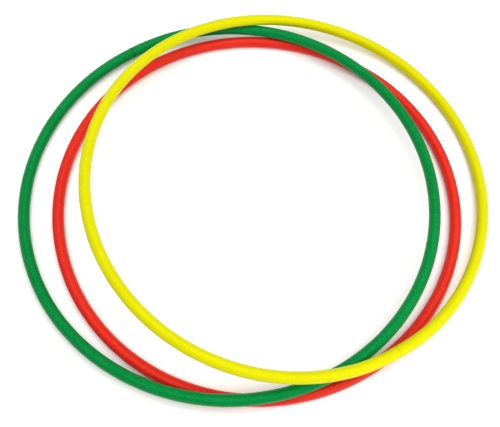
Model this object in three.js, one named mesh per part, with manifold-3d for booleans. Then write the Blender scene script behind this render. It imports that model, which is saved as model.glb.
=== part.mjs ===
// Three plastic gymnastics hoops, lying loosely stacked on a floor.
//
// Each hoop is a hollow polyethylene tube bent into a ring. A ribbed plug in the bore joins
// the two butted tube ends, and a steel staple on each side of the seam pins tube to plug.
// The staples sit under the tube's inner side, clear of hands and floor.
// The red hoop lies flat, the green hoop lies across it, and the yellow hoop lies on the
// green one. Each upper hoop touches the floor on its low side.
//
// Millimetres, +Z up, the floor at z = 0, +Y away from the viewer, +X to the right.

import * as THREE from 'three';
import { mergeVertices } from 'three/addons/utils/BufferGeometryUtils.js';
import Module from 'manifold-3d';

const wasm = await Module();
wasm.setup();

// ---- Driving dimensions ------------------------------------------------------------------

const TUBE_RADIUS = 11; // tube centre to the flats outside
const WALL = 2.2;
const TUBE_SIDES = 16;
const BORE_SIDES = 10;
const RING_STEPS = 64;
const SEAM_GAP = 0.8; // between the two butted tube ends
const SEAM_SPREAD = 0.1; // radians over which the plug straightens the ring
const CLEARANCE = 0.3; // between pieces that touch

const BORE_RADIUS = TUBE_RADIUS - WALL;

const PLUG_LENGTH = 80;
const PLUG_RIBS = 8;
const PLUG_RIB_HEIGHT = 1;
const PLUG_RIB_RISE = 0.35; // share of a rib's pitch that each of its slopes takes
const PLUG_RIB_RADIUS = BORE_RADIUS - CLEARANCE;
const PLUG_CORE_RADIUS = PLUG_RIB_RADIUS - PLUG_RIB_HEIGHT;
const PLUG_NOSE = 4; // length of the tapered lead-in at each end
const PLUG_TAPER = 1.5; // how much the lead-in narrows
const PLUG_NOSE_RADIUS = PLUG_CORE_RADIUS - PLUG_TAPER;
const PLUG_SIDES = 12;

const WIRE = 1.0; // staple wire, square
const STAPLE_CROWN = 11; // outside width
const STAPLE_LEG = 7.5; // from the top of the crown
const STAPLE_OFFSET = 14; // seam to the middle of the crown
const STAPLE_DROP = 45; // degrees below the tube's inner side
const STAPLE_STANDOFF = 0.8; // clears the tube's flats, which stand inside its true curve

// Colour, roughness and metalness of the pieces that every hoop shares, and of the tubes.
const PLUG_LOOK = [0x3a3a3c, 0.6, 0];
const STAPLE_LOOK = [0xb4b7ba, 0.35, 1];
const TUBE_ROUGHNESS = 0.45;

// Plan position and settled pose of each hoop. radius is the mean centreline radius. oval is
// how far the ring is out of round, longest along ovalAngle, and lobe how far it is
// three-cornered, with a corner at lobeAngle. flat is how far the plug pulls the ring in at
// seamAngle. height is the centre's, and tilt lowers the ring towards lowSide.
const HOOPS = [
  {
    name: 'red_hoop',
    colour: 0xf0321f,
    radius: 390,
    centre: [0, 0],
    height: TUBE_RADIUS,
    tilt: 0,
    lowSide: 0,
    oval: 2,
    ovalAngle: 5,
    lobe: 1.4,
    lobeAngle: 17,
    seamAngle: 61,
    flat: 1.7,
  },
  {
    name: 'green_hoop',
    colour: 0x0a8f42,
    radius: 400,
    centre: [-58, 2.9],
    height: 29.69,
    tilt: 2.634,
    lowSide: 176.08,
    oval: 2.25,
    ovalAngle: -44,
    lobe: 0.9,
    lobeAngle: -35,
    seamAngle: 125.8,
    flat: 0.8,
  },
  {
    name: 'yellow_hoop',
    colour: 0xf0ee0a,
    radius: 391.2,
    centre: [58.8, 35.4],
    height: 56.15,
    tilt: 6.549,
    lowSide: 23.83,
    oval: 2.8,
    ovalAngle: 62,
    lobe: 0.7,
    lobeAngle: 16,
    seamAngle: 301.8,
    flat: 1.6,
  },
];

// ---- The ring's centreline ---------------------------------------------------------------

// One turn in the XY plane, from one tube end round to the other, anticlockwise.
class RingCurve extends THREE.Curve {
  constructor(hoop) {
    super();
    this.hoop = hoop;
    this.seam = THREE.MathUtils.degToRad(hoop.seamAngle);
    this.halfGap = SEAM_GAP / 2 / hoop.radius;
    this.arcLengthDivisions = 1440;
  }

  // Point at an angle measured from the seam.
  pointFromSeam(angle, target = new THREE.Vector3()) {
    const { radius, oval, ovalAngle, lobe, lobeAngle, flat } = this.hoop;
    const fromOval = this.seam + angle - THREE.MathUtils.degToRad(ovalAngle);
    const fromLobe = this.seam + angle - THREE.MathUtils.degToRad(lobeAngle);
    const toSeam = Math.atan2(Math.sin(angle), Math.cos(angle));
    const dip = flat * Math.exp(-0.5 * (toSeam / SEAM_SPREAD) ** 2);
    const r = radius + oval * Math.cos(2 * fromOval) + lobe * Math.cos(3 * fromLobe) - dip;
    return target.set(r * Math.cos(this.seam + angle), r * Math.sin(this.seam + angle), 0);
  }

  getPoint(t, target = new THREE.Vector3()) {
    const angle = THREE.MathUtils.lerp(this.halfGap, 2 * Math.PI - this.halfGap, t);
    return this.pointFromSeam(angle, target);
  }

  // Frame near the seam at a signed distance along the ring: X along the tube, Y towards the
  // hoop's middle, Z up.
  frameFromSeam(distance) {
    const angle = distance / this.hoop.radius;
    const step = 1e-3;
    const origin = this.pointFromSeam(angle);
    const along = this.pointFromSeam(angle + step).sub(this.pointFromSeam(angle - step));
    const up = new THREE.Vector3(0, 0, 1);
    const inward = new THREE.Vector3().crossVectors(up, along.normalize());
    return new THREE.Matrix4().makeBasis(along, inward, up).setPosition(origin);
  }
}

// ---- Solids ------------------------------------------------------------------------------

function toManifold(geometry) {
  const bare = geometry.clone();
  bare.deleteAttribute('normal');
  bare.deleteAttribute('uv');
  const merged = mergeVertices(bare);
  return new wasm.Manifold(
    new wasm.Mesh({
      numProp: 3,
      vertProperties: new Float32Array(merged.attributes.position.array),
      triVerts: new Uint32Array(merged.index.array),
    }),
  );
}

function toGeometry(manifold) {
  const mesh = manifold.getMesh();
  const geometry = new THREE.BufferGeometry();
  geometry.setAttribute('position', new THREE.BufferAttribute(mesh.vertProperties, 3));
  geometry.setIndex(new THREE.BufferAttribute(mesh.triVerts, 1));
  return geometry;
}

function subtractAll(geometry, cutters) {
  let solid = toManifold(geometry);
  for (const cutter of cutters) {
    solid = solid.subtract(toManifold(cutter));
  }
  return toGeometry(solid);
}

// Corners of a regular polygon whose flats are apothem from the middle, one flat facing +X.
function polygon(sides, apothem) {
  const corner = apothem / Math.cos(Math.PI / sides);
  return Array.from({ length: sides }, (_, i) => {
    const angle = ((i + 0.5) * 2 * Math.PI) / sides;
    return new THREE.Vector2(corner * Math.cos(angle), corner * Math.sin(angle));
  });
}

// The hollow tube, swept along the ring with a flat underneath.
function tubeGeometry(ring) {
  const section = new THREE.Shape(polygon(TUBE_SIDES, TUBE_RADIUS));
  section.holes.push(new THREE.Path(polygon(BORE_SIDES, BORE_RADIUS)));
  return new THREE.ExtrudeGeometry(section, { steps: RING_STEPS, extrudePath: ring });
}

// Profile of the plug from end to end: tapered noses and a row of round ribs.
function plugProfile() {
  const half = PLUG_LENGTH / 2;
  const ribPitch = (PLUG_LENGTH - 2 * PLUG_NOSE) / PLUG_RIBS;
  const profile = [new THREE.Vector2(0, -half), new THREE.Vector2(PLUG_NOSE_RADIUS, -half)];
  for (let i = 0; i < PLUG_RIBS; i += 1) {
    const start = -half + PLUG_NOSE + i * ribPitch;
    profile.push(new THREE.Vector2(PLUG_CORE_RADIUS, start));
    profile.push(new THREE.Vector2(PLUG_RIB_RADIUS, start + ribPitch * PLUG_RIB_RISE));
    profile.push(new THREE.Vector2(PLUG_RIB_RADIUS, start + ribPitch * (1 - PLUG_RIB_RISE)));
  }
  profile.push(new THREE.Vector2(PLUG_CORE_RADIUS, half - PLUG_NOSE));
  profile.push(new THREE.Vector2(PLUG_NOSE_RADIUS, half), new THREE.Vector2(0, half));
  return profile;
}

// The plug is turned straight about Y, and then bent so that Y follows the ring.
function plugGeometry(ring) {
  const geometry = new THREE.LatheGeometry(plugProfile(), PLUG_SIDES);
  const position = geometry.attributes.position;
  const point = new THREE.Vector3();
  for (let i = 0; i < position.count; i += 1) {
    point.fromBufferAttribute(position, i);
    const frame = ring.frameFromSeam(point.y);
    point.set(0, point.z, point.x).applyMatrix4(frame);
    position.setXYZ(i, point.x, point.y, point.z);
  }
  return geometry;
}

// A staple in its own frame: X along the tube, legs towards -Y, and the crown outside.
function stapleGeometry() {
  const half = STAPLE_CROWN / 2;
  const outline = new THREE.Shape([
    new THREE.Vector2(-half, 0),
    new THREE.Vector2(-half, -STAPLE_LEG),
    new THREE.Vector2(-half + WIRE, -STAPLE_LEG),
    new THREE.Vector2(-half + WIRE, -WIRE),
    new THREE.Vector2(half - WIRE, -WIRE),
    new THREE.Vector2(half - WIRE, -STAPLE_LEG),
    new THREE.Vector2(half, -STAPLE_LEG),
    new THREE.Vector2(half, 0),
  ]);
  const geometry = new THREE.ExtrudeGeometry(outline, { depth: WIRE, bevelEnabled: false });
  return geometry.translate(0, TUBE_RADIUS + STAPLE_STANDOFF + WIRE, -WIRE / 2);
}

// The two leg holes of a staple, in the staple's frame.
function stapleHoles() {
  const width = WIRE + 2 * CLEARANCE;
  const bottom = TUBE_RADIUS + STAPLE_STANDOFF + WIRE - STAPLE_LEG - CLEARANCE;
  const top = TUBE_RADIUS + STAPLE_LEG; // well outside the tube
  const depth = top - bottom;
  return [-1, 1].map((side) =>
    new THREE.BoxGeometry(width, depth, width).translate(
      (side * (STAPLE_CROWN - WIRE)) / 2,
      bottom + depth / 2,
      0,
    ),
  );
}

// ---- Assembly ----------------------------------------------------------------------------

function mesh(name, geometry, colour, roughness, metalness) {
  const material = new THREE.MeshStandardMaterial({
    color: colour,
    roughness,
    metalness,
    flatShading: true,
  });
  const piece = new THREE.Mesh(geometry, material);
  piece.name = name;
  return piece;
}

function buildHoop(hoop) {
  const ring = new RingCurve(hoop);
  const drop = new THREE.Matrix4().makeRotationX(-THREE.MathUtils.degToRad(STAPLE_DROP));
  const staples = ['a', 'b'].map((label, i) => ({
    name: `${hoop.name}_staple_${label}`,
    frame: ring.frameFromSeam(i === 0 ? -STAPLE_OFFSET : STAPLE_OFFSET).multiply(drop),
  }));
  const holes = staples.flatMap(({ frame }) =>
    stapleHoles().map((hole) => hole.applyMatrix4(frame)),
  );

  const group = new THREE.Group();
  const tube = subtractAll(tubeGeometry(ring), holes);
  const plug = subtractAll(plugGeometry(ring), holes);
  group.add(mesh(`${hoop.name}_tube`, tube, hoop.colour, TUBE_ROUGHNESS, 0));
  group.add(mesh(`${hoop.name}_plug`, plug, ...PLUG_LOOK));
  for (const { name, frame } of staples) {
    group.add(mesh(name, stapleGeometry().applyMatrix4(frame), ...STAPLE_LOOK));
  }

  const low = THREE.MathUtils.degToRad(hoop.lowSide);
  const tiltAxis = new THREE.Vector3(-Math.sin(low), Math.cos(low), 0);
  group.quaternion.setFromAxisAngle(tiltAxis, THREE.MathUtils.degToRad(hoop.tilt));
  group.position.set(...hoop.centre, hoop.height);
  return group;
}

const set = new THREE.Group();
HOOPS.forEach((hoop) => set.add(buildHoop(hoop)));

// The origin is on the floor under the middle of the whole set.
const bounds = new THREE.Box3().setFromObject(set, true);
const middle = bounds.getCenter(new THREE.Vector3());
set.position.set(-middle.x, -middle.y, -bounds.min.z);

export default set;
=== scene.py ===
"""Three plastic gymnastics hoops, loosely stacked on a pale floor.

Each hoop's fine tube, plug and staples are built on the ring that the CAD tube gives.
Lengths are metres, in the frame's own axes.
"""

import math

import bpy
import numpy as np
from mathutils import Euler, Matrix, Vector


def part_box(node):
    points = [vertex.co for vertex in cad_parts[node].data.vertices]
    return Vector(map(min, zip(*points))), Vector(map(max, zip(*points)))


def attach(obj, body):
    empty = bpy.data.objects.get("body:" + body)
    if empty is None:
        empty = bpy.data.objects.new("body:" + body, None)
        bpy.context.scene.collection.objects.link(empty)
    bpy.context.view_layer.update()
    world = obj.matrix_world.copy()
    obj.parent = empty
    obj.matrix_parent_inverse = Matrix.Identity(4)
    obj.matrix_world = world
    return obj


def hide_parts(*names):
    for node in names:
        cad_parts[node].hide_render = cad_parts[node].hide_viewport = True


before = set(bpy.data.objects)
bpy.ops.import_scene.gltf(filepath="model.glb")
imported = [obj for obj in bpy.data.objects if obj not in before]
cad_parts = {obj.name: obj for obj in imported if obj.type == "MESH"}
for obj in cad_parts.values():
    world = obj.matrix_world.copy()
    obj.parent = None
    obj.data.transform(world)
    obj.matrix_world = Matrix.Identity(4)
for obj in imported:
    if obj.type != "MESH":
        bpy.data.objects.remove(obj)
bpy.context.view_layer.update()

MM = 0.001

# ---- Sizes ---------------------------------------------------------------------------

SEAM_SPREAD = 0.1  # radians over which the plug straightens the ring
RING_FIT_ROUNDS = 4
RING_SAMPLES = 8193  # over two turns, to measure distance along the ring
TANGENT_STEP = 1e-4  # radians
SAME_POINT_DECIMALS = 7  # of a metre

WALL = 2.2 * MM
TUBE_SIDES = 64
RING_STEP = 5 * MM
BORE_STEP = 20 * MM
END_REACH = 26 * MM  # finely stepped stretch at each tube end
END_STEP = 0.6 * MM
LIP_ROUND = 0.35 * MM
LIP_STEPS = 6
FLARE_REACH = 2.4 * MM
WAVE_HEIGHT = 0.10 * MM  # slow unevenness of the extruded tube
WAVES = 14
WAVE_CYCLES = (6, 60)  # round the ring
WAVE_LOBES = 4  # round the tube, fewer than this
WAVE_SIZES = (0.4, 1.0)  # of one wave against the others

PLUG_LENGTH = 80 * MM
PLUG_RIBS = 8
PLUG_CLEARANCE = 0.15 * MM
PLUG_RIB_HEIGHT = 1.0 * MM
PLUG_NOSE = 4 * MM
PLUG_NOSE_NARROWING = 0.3
PLUG_NOSE_STEPS = 5
PLUG_CAP_RINGS = (0.1, 0.5)  # radii of the flat end's rings, against the nose's tip
PLUG_SIDES = 48
RIB_STEPS = 10

STAPLES_REACH = 26 * MM  # stretch each side of the seam that the staples' holes break up
STAPLE_CROWN = 11 * MM
STAPLE_LEG = 7 * MM
STAPLE_WIRE = (1.0 * MM, 0.6 * MM)  # across the crown, and its thickness
STAPLE_BEND = 0.9 * MM
STAPLE_TIP = 0.35  # the chisel ends of the legs, against the wire's size
STAPLE_SQUARENESS = 0.45  # power of the wire's section: 1 is round, 0 is square
STAPLE_SIDES = 16
STAPLE_BEND_STEPS = 7
STAPLE_LEG_STEPS = 4
STAPLE_DENT = 0.25 * MM
STAPLE_DENT_REACH = 0.8 * MM

# ---- Looks ---------------------------------------------------------------------------

# Linear colours: the plastic; its paler rubbed streaks and scuffs, with pale specks of
# painted sheen;
# and its deeper clouds. seam_gap is between the butted ends, and flare is how far the first
# and the last end stand proud.
HOOPS = {
    "red_hoop": {
        "slot": "red_plastic",
        "colour": (0.60, 0.014, 0.007),
        "pale_and_sheen": (0.62, 0.032, 0.020),
        "deep": (0.55, 0.008, 0.004),
        "gloss": (1.0, 0.62, 0.40),
        "seam_gap": 0.3 * MM,
        "flare": (0.12 * MM, 0.12 * MM),
        "seed": 11,
    },
    "green_hoop": {
        "slot": "green_plastic",
        "colour": (0.000, 0.183, 0.030),
        "pale_and_sheen": (0.012, 0.228, 0.066),
        "deep": (0.000, 0.158, 0.020),
        "gloss": (0.05, 1.0, 0.50),
        "seam_gap": 1.2 * MM,
        "flare": (0.60 * MM, 0.05 * MM),
        "seed": 23,
    },
    "yellow_hoop": {
        "slot": "yellow_plastic",
        "colour": (0.55, 0.535, 0.001),
        "pale_and_sheen": (0.58, 0.565, 0.008),
        "deep": (0.525, 0.50, 0.000),
        "gloss": (1.0, 1.0, 0.05),
        "seam_gap": 0.35 * MM,
        "flare": (0.14 * MM, 0.30 * MM),
        "seed": 37,
    },
}

# Noise scales are per metre: along the tube, then twice across it, or one for all ways.
CLOUD_SCALE = (14, 45, 45)
MOTTLE_SCALE = 330
STREAK_SCALE = (9, 520, 520)
SCUFF_SCALE = (240, 700, 700)
GRAIN_SCALE = 2600
SHEEN_SCALE = (60, 260, 260)
STREAK_BUMP = (0.05 * MM, 0.6)  # each bump's height and strength
MOTTLE_BUMP = (0.25 * MM, 0.7)
GRAIN_BUMP = (0.03 * MM, 0.5)
TUBE_ROUGHNESS = (0.30, 0.46)
TUBE_IOR = 1.5
TUBE_SPECULAR = 0.42

# The plug's dark grey is partly painted shade: where it shows through a seam gap it stands
# in for the shade in that gap.
PLUG_COLOURS = ((0.040, 0.040, 0.043), (0.026, 0.026, 0.028))
PLUG_ROUGHNESS = (0.45, 0.62)
PLUG_MOTTLE_SCALE = 180
PLUG_GRAIN_SCALE = 2400
PLUG_GRAIN_BUMP = (0.04 * MM, 0.6)

STEEL_COLOURS = ((0.52, 0.53, 0.54), (0.36, 0.36, 0.35))
STEEL_ROUGHNESS = (0.26, 0.5)
STEEL_SPOT_SCALE = 900
STEEL_SCRATCH_SCALE = (400, 400, 5200)
STEEL_SCRATCH_BUMP = (0.02 * MM, 0.5)

# ---- Floor, light and camera -----------------------------------------------------------

FLOOR_SIZE = 12.0
FLOOR_COLOURS = ((0.90, 0.90, 0.895), (0.885, 0.885, 0.88))
FLOOR_TONE_SCALE = 3.0
FLOOR_ROUGHNESS = 0.6
FLOOR_SPECULAR = 0.2

# Each softbox: where it stands, what it points at, its size and its power in watts.
SOFTBOXES = {
    "key": ((0.42, -0.13, 2.6), (0.0, 0.0, 0.0), (4.0, 3.8), 90.0),
    "front_fill": ((1.34, -1.34, 0.55), (0.0, 0.0, 0.05), (1.4, 0.9), 9.0),
    "back_fill": ((-1.34, 1.34, 0.55), (0.0, 0.0, 0.05), (1.4, 0.9), 3.2),
}
SKY_STRENGTH = 0.72
VIEW_GAMMA = 0.87  # below 1 deepens the shaded sides, as the photo's contrast does

CAMERA_PLACE = (-0.0078, -0.6070, 1.2498)
CAMERA_TILT = 24.36  # degrees from straight down
CAMERA_ROLL = 4.21  # degrees
CAMERA_SENSOR = 36.0  # millimetres, as the lens is
CAMERA_LENS = 49.82

# ---- The ring of each hoop, read from its CAD tube -------------------------------------


def node_points(node):
    """A CAD node's corner points at rest, each once."""
    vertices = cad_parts[node].data.vertices
    points = np.array([v.co for v in vertices], float).reshape(-1, 3)
    return np.unique(points.round(SAME_POINT_DECIMALS), axis=0)


def node_middle(node):
    return np.array(sum(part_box(node), Vector())) / 2


def wrapped(angle):
    return (angle + np.pi) % (2 * np.pi) - np.pi


class Ring:
    """A hoop's centreline: a ring that is slightly oval and three-cornered, and pulled in
    a little at its seam, where angle and distance start."""

    def __init__(self, hoop):
        points = node_points(f"{hoop}_tube")
        seam_point = node_middle(f"{hoop}_plug")
        away = np.linalg.norm(points - seam_point, axis=1) > STAPLES_REACH
        points = points[away]

        self.centre = points.mean(0)
        self.up = np.linalg.svd(points - self.centre, full_matrices=False)[2][2]
        self.up *= np.sign(self.up[2])
        height = (points - self.centre) @ self.up
        self.centre += self.up * (height.max() + height.min()) / 2
        self.tube_radius = (height.max() - height.min()) / 2
        for _ in range(RING_FIT_ROUNDS):
            self._fit(points, seam_point)
        self._measure_length()

    def _fit(self, points, seam_point):
        to_seam = seam_point - self.centre
        to_seam -= self.up * (to_seam @ self.up)
        self.x = to_seam / np.linalg.norm(to_seam)
        self.y = np.cross(self.up, self.x)
        x, y = (points - self.centre) @ self.x, (points - self.centre) @ self.y
        angle = np.arctan2(y, x)
        terms = np.c_[self._terms(angle), np.cos(angle), np.sin(angle)]
        fit = np.linalg.lstsq(terms, np.hypot(x, y), rcond=None)[0]
        self.shape = fit[:-2]
        self.centre = self.centre + fit[-2] * self.x + fit[-1] * self.y

    @staticmethod
    def _terms(angle):
        dip = np.exp(-0.5 * (wrapped(angle) / SEAM_SPREAD) ** 2)
        oval = [np.cos(2 * angle), np.sin(2 * angle)]
        corners = [np.cos(3 * angle), np.sin(3 * angle)]
        return np.stack([np.ones_like(angle), *oval, *corners, dip], axis=-1)

    def point(self, angle):
        r = self._terms(angle) @ self.shape
        flat = np.outer(r * np.cos(angle), self.x) + np.outer(r * np.sin(angle), self.y)
        return self.centre + flat

    def _measure_length(self):
        self.angles = np.linspace(-np.pi, 3 * np.pi, RING_SAMPLES)
        steps = np.linalg.norm(np.diff(self.point(self.angles), axis=0), axis=1)
        travel = np.concatenate([[0], np.cumsum(steps)])
        self.travel = travel - np.interp(0, self.angles, travel)
        self.length = np.interp(2 * np.pi, self.angles, self.travel)

    def frames(self, distance):
        """Origin, along, inward and up at distances along the ring from the seam."""
        angle = np.interp(distance, self.travel, self.angles)
        along = self.point(angle + TANGENT_STEP) - self.point(angle - TANGENT_STEP)
        along /= np.linalg.norm(along, axis=1)[:, None]
        up = np.broadcast_to(self.up, along.shape)
        return self.point(angle), along, np.cross(up, along), up

    def locate(self, point):
        """Distance from the seam to a point near the tube, and its turn round the tube."""
        offset = point - self.centre
        angle = math.atan2(offset @ self.y, offset @ self.x)
        distance = float(np.interp(angle, self.angles, self.travel))
        origin, _, inward, up = self.frames(np.array([distance]))
        out = point - origin[0]
        return distance, math.atan2(out @ inward[0], out @ up[0])


# ---- Meshes ----------------------------------------------------------------------------


def grid_faces(rows, columns, closed_rows):
    """Quads of a grid whose columns close on themselves, and its rows too if asked."""
    row = np.arange(rows if closed_rows else rows - 1)
    column = np.arange(columns)
    a = (row[:, None] * columns + column[None, :]).ravel()
    b = (row[:, None] * columns + (column[None, :] + 1) % columns).ravel()
    above = ((row + 1) % rows)[:, None] * columns
    c = (above + (column[None, :] + 1) % columns).ravel()
    d = (above + column[None, :]).ravel()
    return np.c_[a, b, c, d]


def capped_faces(rows, columns):
    """Quads of a closed tube of rows, with a flat cap on each end."""
    faces = [tuple(f) for f in grid_faces(rows, columns, closed_rows=False)]
    last = (rows - 1) * columns
    faces.append(tuple(reversed(range(columns))))
    faces.append(tuple(range(last, last + columns)))
    return faces


def mesh_object(name, points, faces, material, coordinates=None):
    mesh = bpy.data.meshes.new(name)
    mesh.from_pydata([tuple(p) for p in points], [], [tuple(f) for f in faces])
    if coordinates is not None:
        attribute = mesh.attributes.new("tube_coordinate", "FLOAT_VECTOR", "POINT")
        attribute.data.foreach_set("vector", np.asarray(coordinates, np.float32).ravel())
    mesh.polygons.foreach_set("use_smooth", np.ones(len(mesh.polygons), bool))
    mesh.materials.append(material)
    mesh.update()
    thing = bpy.data.objects.new(name, mesh)
    bpy.context.scene.collection.objects.link(thing)
    return thing


def turns(sides):
    """Angles round the tube: 0 is up, and a quarter turn is towards the ring's middle."""
    return np.arange(sides) * 2 * np.pi / sides


def bent_rows(ring, distance, radius):
    """Circles round the ring at each distance, as rows of points."""
    radius = np.asarray(radius)
    origin, _, inward, up = ring.frames(distance)
    turn = turns(radius.shape[1])[None, :, None]
    across = np.cos(turn) * up[:, None, :] + np.sin(turn) * inward[:, None, :]
    return origin[:, None, :] + across * radius[:, :, None]


def off_the_floor(turn):
    """One on the top and sides of a tube, easing to none where it rests."""
    return 1 - np.clip(-np.cos(turn), 0, 1) ** 2


def wave(distance, turn, length, seed):
    """Slow unevenness of the tube's surface that closes on itself."""
    rng = np.random.default_rng(seed)
    total = np.zeros((len(distance), len(turn)))
    for _ in range(WAVES):
        cycles = rng.integers(*WAVE_CYCLES)
        lobes = rng.integers(0, WAVE_LOBES)
        phase = rng.uniform(0, 2 * np.pi)
        size = rng.uniform(*WAVE_SIZES)
        s = 2 * np.pi * cycles * distance[:, None] / length
        total += size * np.sin(s + lobes * turn[None, :] + phase)
    return total * WAVE_HEIGHT / math.sqrt(WAVES)


def staple_dents(distance, turn, length, radius, staples):
    """How far the staple legs pull the wall in where they enter it."""
    from_seam = np.where(distance > length / 2, distance - length, distance)
    dent = np.zeros((len(distance), len(turn)))
    for middle, staple_turn in staples:
        sideways = wrapped(turn - staple_turn) * radius
        for leg in (-1, 1):
            place = middle + leg * (STAPLE_CROWN - STAPLE_WIRE[1]) / 2
            gap2 = (from_seam - place)[:, None] ** 2 + sideways[None, :] ** 2
            dent += STAPLE_DENT * np.exp(-gap2 / (2 * STAPLE_DENT_REACH**2))
    return dent


def cut_end(outer, bore, cut, facing):
    """Rows of a cut end, from its outer lip over the flat face to the lip of the bore."""
    quarter = np.linspace(0, np.pi / 2, LIP_STEPS)
    lip = outer[None, :] - LIP_ROUND * (1 - np.cos(quarter[1:]))[:, None]
    lip_place = cut - facing * LIP_ROUND * (1 - np.sin(quarter[1:]))
    bore_lip = np.repeat((bore + LIP_ROUND * (1 - np.sin(quarter)))[:, None], len(outer), 1)
    bore_place = cut - facing * LIP_ROUND * (1 - np.cos(quarter))
    return np.r_[lip_place, bore_place], np.r_[lip, bore_lip]


def tube_mesh(hoop, ring, staples, material):
    """The hollow tube: the wall outside, two rounded cut ends, and the bore."""
    look = HOOPS[hoop]
    radius, length = ring.tube_radius, ring.length
    bore = radius - WALL
    turn = turns(TUBE_SIDES)
    first_cut, last_cut = look["seam_gap"] / 2, length - look["seam_gap"] / 2

    start, end = first_cut + LIP_ROUND, last_cut - LIP_ROUND
    fine = np.arange(0, END_REACH, END_STEP)
    count = int(round((end - start - 2 * END_REACH) / RING_STEP))
    middle = np.linspace(start + END_REACH, end - END_REACH, count + 1)
    outside = np.concatenate([start + fine, middle, (end - fine)[::-1]])

    first_flare, last_flare = look["flare"]
    flare = first_flare * np.exp(-(((outside - start) / FLARE_REACH) ** 2))
    flare += last_flare * np.exp(-(((end - outside) / FLARE_REACH) ** 2))
    swell = flare[:, None] + wave(outside, turn, length, look["seed"])
    outer = radius + swell * off_the_floor(turn)[None, :]
    outer -= staple_dents(outside, turn, length, radius, staples)

    last_place, last_rows = cut_end(outer[-1], bore, last_cut, 1)
    first_place, first_rows = cut_end(outer[0], bore, first_cut, -1)
    steps = int((last_place[-1] - first_place[-1]) / BORE_STEP)
    inside = np.linspace(last_place[-1], first_place[-1], steps)[1:-1]
    inside_rows = np.full((len(inside), TUBE_SIDES), bore)

    distance = np.concatenate([outside, last_place, inside, first_place[::-1]])
    rows = np.concatenate([outer, last_rows, inside_rows, first_rows[::-1]])
    points = bent_rows(ring, distance, rows)

    coordinates = np.zeros(points.shape)
    coordinates[:, :, 0] = distance[:, None]
    coordinates[:, :, 1] = radius * np.cos(turn)[None, :]
    coordinates[:, :, 2] = radius * np.sin(turn)[None, :]
    return mesh_object(
        f"{hoop}_tube_fine",
        points.reshape(-1, 3),
        grid_faces(len(distance), TUBE_SIDES, closed_rows=True),
        material,
        coordinates.reshape(-1, 3),
    )


def plug_mesh(hoop, ring, material):
    """The ribbed plug: rounded ribs between two tapered noses, bent along the ring."""
    rib_radius = ring.tube_radius - WALL - PLUG_CLEARANCE
    core_radius = rib_radius - PLUG_RIB_HEIGHT
    half = PLUG_LENGTH / 2
    ribs = np.linspace(0, PLUG_RIBS, PLUG_RIBS * RIB_STEPS + 1)
    ribbed = -half + PLUG_NOSE + ribs / PLUG_RIBS * (PLUG_LENGTH - 2 * PLUG_NOSE)
    swell = np.sqrt(np.abs(np.sin(np.pi * ribs)))

    nose = np.linspace(0, 1, PLUG_NOSE_STEPS + 1)[:-1]
    nose_place = -half + PLUG_NOSE * nose
    nose_radius = core_radius * (1 - PLUG_NOSE_NARROWING * (1 - np.sin(nose * np.pi / 2)))
    cap_radius = nose_radius[0] * np.array(PLUG_CAP_RINGS)
    distance = np.concatenate(
        [[-half, -half], nose_place, ribbed, -nose_place[::-1], [half, half]]
    )
    radius = np.concatenate(
        [
            cap_radius,
            nose_radius,
            core_radius + PLUG_RIB_HEIGHT * swell,
            nose_radius[::-1],
            cap_radius[::-1],
        ]
    )
    points = bent_rows(ring, distance, np.repeat(radius[:, None], PLUG_SIDES, 1))
    faces = capped_faces(len(distance), PLUG_SIDES)
    return mesh_object(f"{hoop}_plug_fine", points.reshape(-1, 3), faces, material)


def staple_outline():
    """Middle line of the wire, from one leg's tip over the crown to the other's.

    X runs along the tube and Y away from its middle line, with the crown's underside at 0.
    """
    half = (STAPLE_CROWN - STAPLE_WIRE[1]) / 2
    top = STAPLE_WIRE[1] / 2
    corner = np.linspace(np.pi, np.pi / 2, STAPLE_BEND_STEPS)
    bend_x = -half + STAPLE_BEND * (1 + np.cos(corner))
    bend_y = top - STAPLE_BEND * (1 - np.sin(corner))
    leg_y = np.linspace(top - STAPLE_LEG, bend_y[0], STAPLE_LEG_STEPS + 1)[:-1]
    leg = np.c_[np.full(len(leg_y), -half), leg_y]
    left = np.concatenate([leg, np.c_[bend_x, bend_y], [[-half / 3, top]]])
    return np.concatenate([left, left[::-1] * [-1, 1]])


def staple_mesh(name, ring, staple, material):
    """A staple of flattened wire, its crown lying along the tube."""
    middle, turn = staple
    line = staple_outline()
    forward = np.gradient(line, axis=0)
    forward /= np.linalg.norm(forward, axis=1)[:, None]
    sideways = np.c_[-forward[:, 1], forward[:, 0]]

    angle = turns(STAPLE_SIDES)
    section = (np.sin(angle), np.cos(angle))
    rounded = [np.sign(f) * np.abs(f) ** STAPLE_SQUARENESS for f in section]
    wide, thick = (edge * size / 2 for edge, size in zip(rounded, STAPLE_WIRE))
    scale = np.ones(len(line))
    scale[[0, -1]] = STAPLE_TIP

    flat = line[:, None, :] + sideways[:, None, :] * (thick * scale[:, None])[..., None]
    across = (wide * scale[:, None]).ravel()
    place = middle + flat[:, :, 0].ravel()
    out = ring.tube_radius + flat[:, :, 1].ravel()
    origin, along, inward, up = ring.frames(place)
    outward = math.cos(turn) * up + math.sin(turn) * inward
    points = origin + outward * out[:, None] + np.cross(along, outward) * across[:, None]
    return mesh_object(name, points, capped_faces(len(line), STAPLE_SIDES), material)


# ---- Materials -------------------------------------------------------------------------


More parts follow.
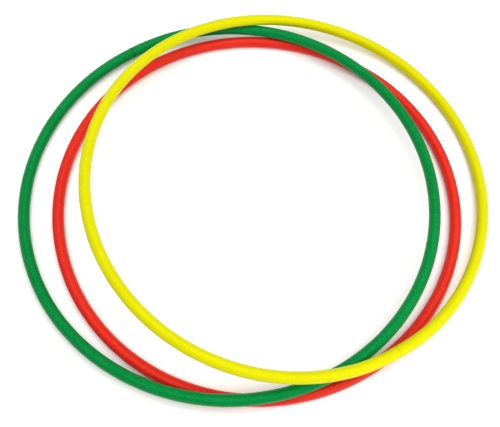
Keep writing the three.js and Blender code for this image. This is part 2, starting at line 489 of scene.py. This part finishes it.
class Nodes:
    """A material's node tree, with short calls for the nodes that the looks need."""

    def __init__(self, name):
        self.material = bpy.data.materials.new(name)
        self.material.use_nodes = True
        self.tree = self.material.node_tree
        self.shader = self.tree.nodes["Principled BSDF"]

    def add(self, kind, **settings):
        node = self.tree.nodes.new(kind)
        for key, value in settings.items():
            setattr(node, key, value)
        return node

    def link(self, source, target):
        self.tree.links.new(source, target)

    def noise(self, vector, scale, detail=3.0, roughness=0.55):
        node = self.add("ShaderNodeTexNoise")
        node.inputs["Scale"].default_value = scale
        node.inputs["Detail"].default_value = detail
        node.inputs["Roughness"].default_value = roughness
        self.link(vector, node.inputs["Vector"])
        return node.outputs["Fac"]

    def stretched(self, vector, scale):
        node = self.add("ShaderNodeMapping")
        node.inputs["Scale"].default_value = scale
        self.link(vector, node.inputs["Vector"])
        return node.outputs["Vector"]

    def ramp(self, value, low, high, to_low=0.0, to_high=1.0):
        node = self.add("ShaderNodeMapRange", interpolation_type="SMOOTHSTEP")
        limits = {"From Min": low, "From Max": high, "To Min": to_low, "To Max": to_high}
        for key, number in limits.items():
            node.inputs[key].default_value = number
        self.link(value, node.inputs["Value"])
        return node.outputs["Result"]

    def mix(self, factor, a, b):
        node = self.add("ShaderNodeMix", data_type="RGBA")
        self.link(factor, node.inputs["Factor"])
        for socket, colour in ((node.inputs["A"], a), (node.inputs["B"], b)):
            if isinstance(colour, tuple):
                socket.default_value = (*colour, 1.0)
            else:
                self.link(colour, socket)
        return node.outputs["Result"]

    def bump(self, height, distance, strength, normal=None):
        node = self.add("ShaderNodeBump")
        node.inputs["Distance"].default_value = distance
        node.inputs["Strength"].default_value = strength
        self.link(height, node.inputs["Height"])
        if normal is not None:
            self.link(normal, node.inputs["Normal"])
        return node.outputs["Normal"]


def plastic(hoop):
    """Satin extruded polyethylene: faint draw lines, cloudy colour, fine grain, scuffs."""
    look = HOOPS[hoop]
    n = Nodes(f"{hoop}_plastic")
    place = n.add("ShaderNodeAttribute", attribute_name="tube_coordinate").outputs["Vector"]

    clouds = n.noise(n.stretched(place, CLOUD_SCALE), 1.0, detail=3)
    mottle = n.noise(place, MOTTLE_SCALE, detail=3, roughness=0.6)
    streaks = n.noise(n.stretched(place, STREAK_SCALE), 1.0, detail=2, roughness=0.7)
    grain = n.noise(place, GRAIN_SCALE, detail=2)
    scuffs = n.noise(n.stretched(place, SCUFF_SCALE), 1.0, detail=3, roughness=0.7)

    colour = n.mix(n.ramp(clouds, 0.35, 0.68, 0.0, 0.6), look["colour"], look["deep"])
    # The mottle's pale specks are painted highlight: they stand in for the speckled sheen
    # of light along the tube.
    colour = n.mix(n.ramp(mottle, 0.46, 0.66, 0.0, 0.75), colour, look["pale_and_sheen"])
    colour = n.mix(n.ramp(streaks, 0.52, 0.78, 0.0, 0.6), colour, look["pale_and_sheen"])
    colour = n.mix(n.ramp(scuffs, 0.66, 0.82, 0.0, 0.6), colour, look["pale_and_sheen"])
    n.link(colour, n.shader.inputs["Base Color"])

    sheen = n.noise(n.stretched(place, SHEEN_SCALE), 1.0, detail=4)
    n.link(n.ramp(sheen, 0.3, 0.7, *TUBE_ROUGHNESS), n.shader.inputs["Roughness"])

    lines = n.bump(streaks, *STREAK_BUMP)
    uneven = n.bump(mottle, *MOTTLE_BUMP, lines)
    n.link(n.bump(grain, *GRAIN_BUMP, uneven), n.shader.inputs["Normal"])

    n.shader.inputs["IOR"].default_value = TUBE_IOR
    n.shader.inputs["Specular IOR Level"].default_value = TUBE_SPECULAR
    n.shader.inputs["Specular Tint"].default_value = (*look["gloss"], 1.0)
    return n.material


def plug_plastic():
    """Dark grey moulded plastic with a faint mottle; the dark grey is partly painted shade
    for the seam gaps.
    """
    n = Nodes("plug_plastic_fine")
    place = n.add("ShaderNodeTexCoord").outputs["Object"]
    mottle = n.noise(place, PLUG_MOTTLE_SCALE, detail=4)
    grain = n.noise(place, PLUG_GRAIN_SCALE, detail=2)
    n.link(n.mix(n.ramp(mottle, 0.35, 0.7), *PLUG_COLOURS), n.shader.inputs["Base Color"])
    n.link(n.ramp(mottle, 0.3, 0.7, *PLUG_ROUGHNESS), n.shader.inputs["Roughness"])
    n.link(n.bump(grain, *PLUG_GRAIN_BUMP), n.shader.inputs["Normal"])
    return n.material


def staple_steel():
    """Galvanised wire with drawn scratches and dull spots."""
    n = Nodes("staple_steel_fine")
    place = n.add("ShaderNodeTexCoord").outputs["Object"]
    spots = n.noise(place, STEEL_SPOT_SCALE, detail=4)
    scratches = n.noise(n.stretched(place, STEEL_SCRATCH_SCALE), 1.0, detail=3)
    n.link(n.mix(n.ramp(spots, 0.35, 0.7), *STEEL_COLOURS), n.shader.inputs["Base Color"])
    n.link(n.ramp(spots, 0.3, 0.75, *STEEL_ROUGHNESS), n.shader.inputs["Roughness"])
    n.link(n.bump(scratches, *STEEL_SCRATCH_BUMP), n.shader.inputs["Normal"])
    n.shader.inputs["Metallic"].default_value = 1.0
    return n.material


# ---- Assembly --------------------------------------------------------------------------


def build_hoop(hoop, materials):
    """A hoop's four fine pieces, each riding its body in place of its CAD node."""
    ring = Ring(hoop)
    staples = {label: ring.locate(node_middle(f"{hoop}_staple_{label}")) for label in "ab"}
    tube = tube_mesh(hoop, ring, staples.values(), plastic(hoop))
    plug = plug_mesh(hoop, ring, materials["plug_plastic"])
    pieces = [(tube, "tube", HOOPS[hoop]["slot"]), (plug, "plug", "plug_plastic")]
    for label, place in staples.items():
        name = f"{hoop}_staple_{label}_fine"
        staple = staple_mesh(name, ring, place, materials["staple_steel"])
        pieces.append((staple, f"staple_{label}", "staple_steel"))
    for piece, part, slot in pieces:
        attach(piece, hoop)
        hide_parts(f"{hoop}_{part}")


shared = {"plug_plastic": plug_plastic(), "staple_steel": staple_steel()}
for hoop_name in HOOPS:
    build_hoop(hoop_name, shared)

# ---- Stage -----------------------------------------------------------------------------


def floor_material():
    """Plain white with a faint change of tone."""
    n = Nodes("floor_white")
    place = n.add("ShaderNodeTexCoord").outputs["Object"]
    tone = n.ramp(n.noise(place, FLOOR_TONE_SCALE, detail=2), 0.3, 0.7)
    n.link(n.mix(tone, *FLOOR_COLOURS), n.shader.inputs["Base Color"])
    n.shader.inputs["Roughness"].default_value = FLOOR_ROUGHNESS
    n.shader.inputs["Specular IOR Level"].default_value = FLOOR_SPECULAR
    return n.material


def add_floor():
    half = FLOOR_SIZE / 2
    corners = [(-half, -half, 0), (half, -half, 0), (half, half, 0), (-half, half, 0)]
    floor = mesh_object("floor", corners, [(0, 1, 2, 3)], floor_material())


def add_softbox(name, place, target, size, power):
    light = bpy.data.lights.new(name, "AREA")
    light.shape = "RECTANGLE"
    light.size, light.size_y = size
    light.energy = power
    lamp = bpy.data.objects.new(name, light)
    lamp.location = place
    direction = Vector(target) - Vector(place)
    lamp.rotation_euler = direction.to_track_quat("-Z", "Y").to_euler()
    lamp.visible_camera = False
    bpy.context.scene.collection.objects.link(lamp)


def add_sky():
    world = bpy.data.worlds.new("studio")
    world.use_nodes = True
    world.node_tree.nodes["Background"].inputs["Color"].default_value = (1, 1, 1, 1)
    world.node_tree.nodes["Background"].inputs["Strength"].default_value = SKY_STRENGTH
    bpy.context.scene.world = world


def add_camera():
    data = bpy.data.cameras.new("camera")
    data.sensor_width = CAMERA_SENSOR
    data.lens = CAMERA_LENS
    camera = bpy.data.objects.new("camera", data)
    camera.location = CAMERA_PLACE
    tilt = Euler((math.radians(CAMERA_TILT), 0, 0)).to_matrix()
    roll = Euler((0, 0, math.radians(CAMERA_ROLL))).to_matrix()
    camera.rotation_euler = (tilt @ roll).to_euler()
    bpy.context.scene.collection.objects.link(camera)
    bpy.context.scene.camera = camera


add_floor()
for light_name, (place, target, size, power) in SOFTBOXES.items():
    add_softbox(light_name, place, target, size, power)
add_sky()
add_camera()
bpy.context.scene.view_settings.view_transform = "Standard"
bpy.context.scene.view_settings.gamma = VIEW_GAMMA
